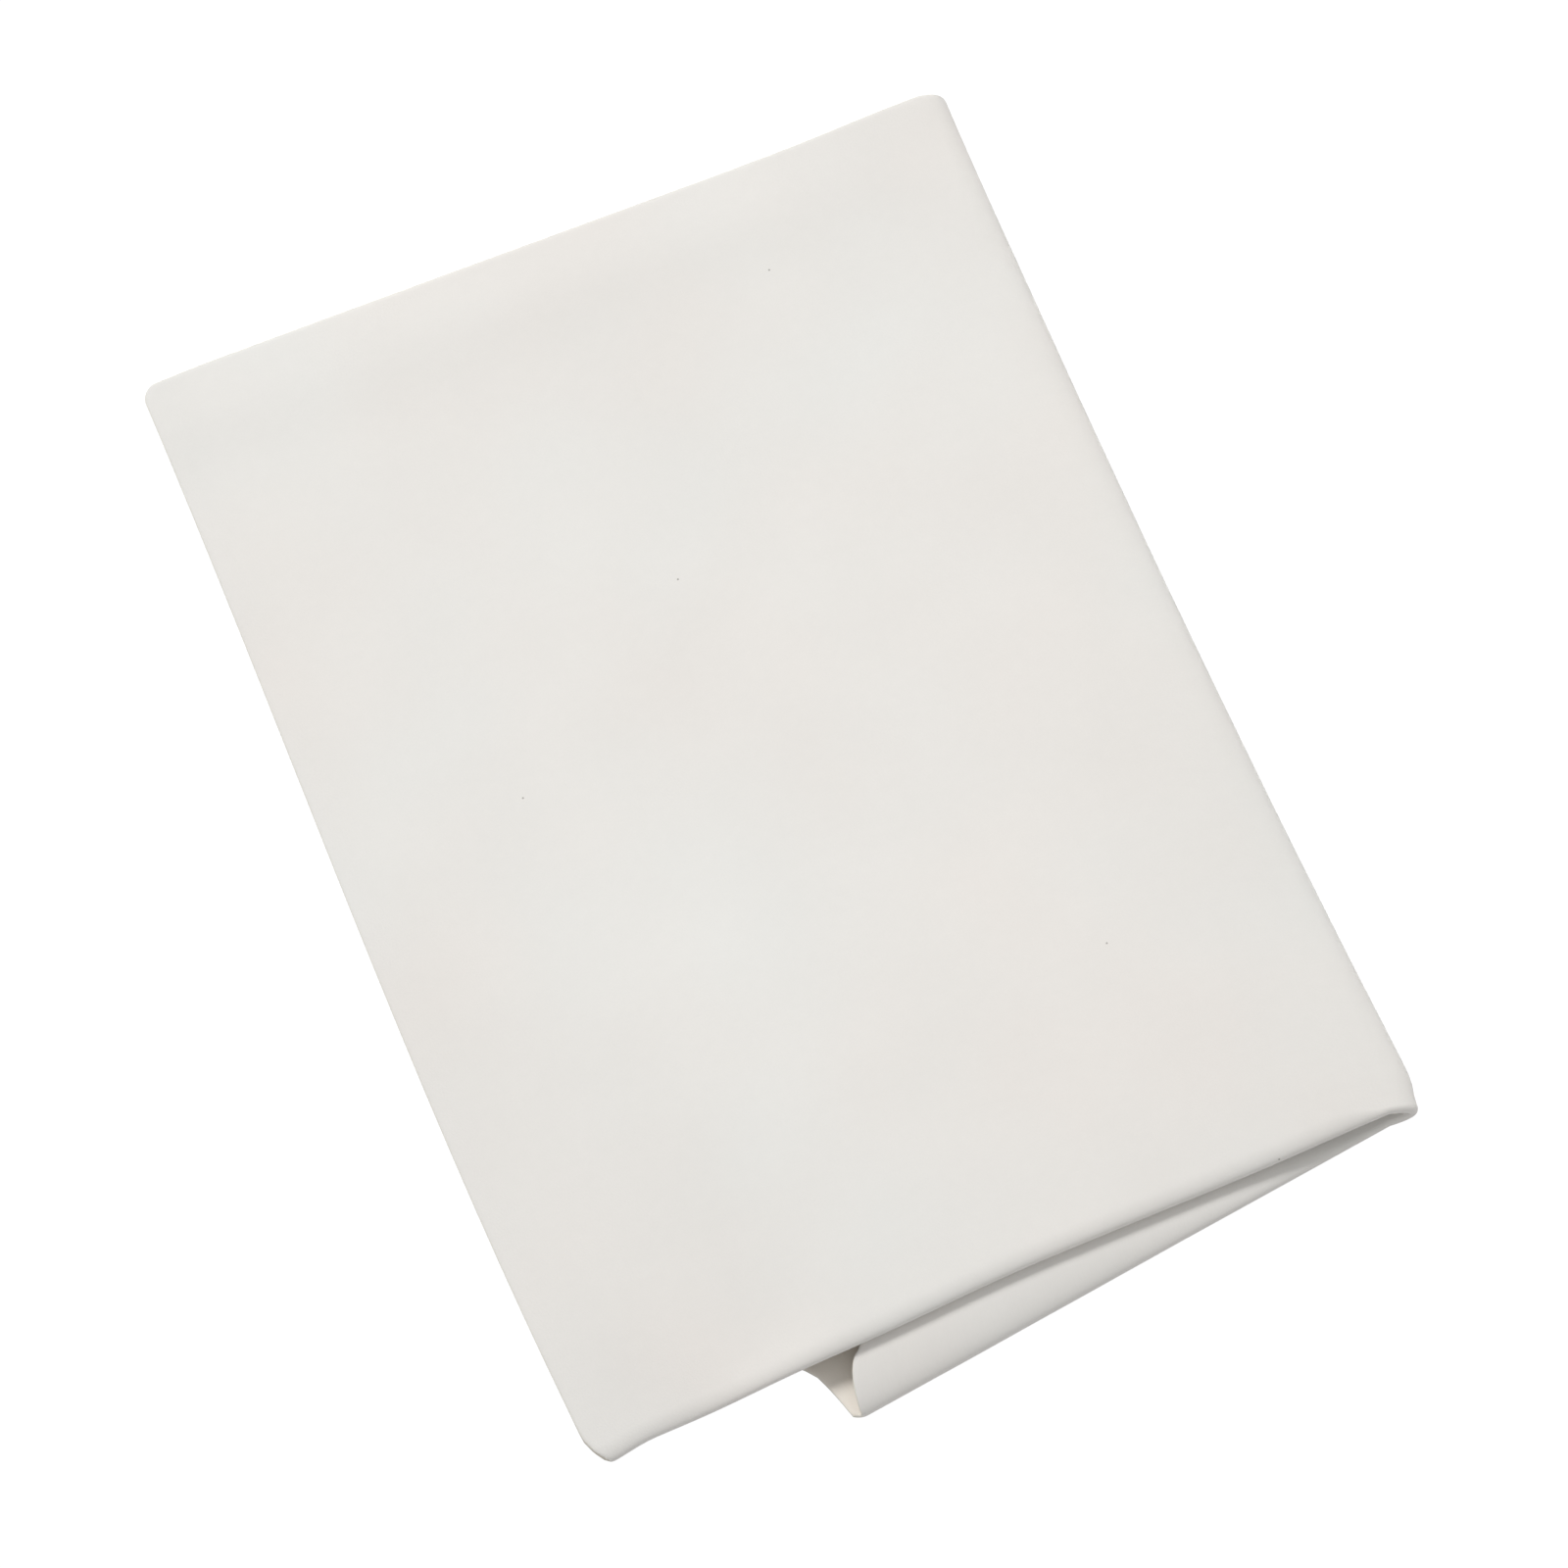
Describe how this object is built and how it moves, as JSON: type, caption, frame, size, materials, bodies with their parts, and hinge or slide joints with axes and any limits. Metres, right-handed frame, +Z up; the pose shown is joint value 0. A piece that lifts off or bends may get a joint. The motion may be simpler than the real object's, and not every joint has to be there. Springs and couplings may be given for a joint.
{
  "type": "folded chamois leather",
  "caption": "Soft chamois leather sheet for drying and polishing, folded front to back and then side over side, with the lower fold slipping out as a rolled flap.",
  "frame": {"origin": "under the middle of the folded sheet, on the surface it lies on", "axes": "+X along the front fold towards the side fold, +Y from the front fold to the back cut edges, +Z up"},
  "size_m": [0.2466, 0.3478, 0.0132],
  "materials": {
    "chamois": "matte, napped"
  },
  "bodies": {
    "lower_pair": {"bottom_leaf": "chamois", "third_leaf": "chamois", "lower_front_roll": "chamois", "outer_crease_lower": "chamois", "inner_crease_lower": "chamois", "corner_crease_lower": "chamois"},
    "upper_pair": {"top_leaf": "chamois", "second_leaf": "chamois", "upper_front_roll": "chamois", "outer_crease_upper": "chamois", "inner_crease_upper": "chamois", "corner_crease_upper": "chamois"}
  },
  "joints": [
    {"name": "side_fold", "type": "hinge", "parent": "lower_pair", "child": "upper_pair", "pos_m": [0.1235, 0, 0.00675], "axis": [0, 1, 0], "range_deg": [0, 180]}
  ]
}
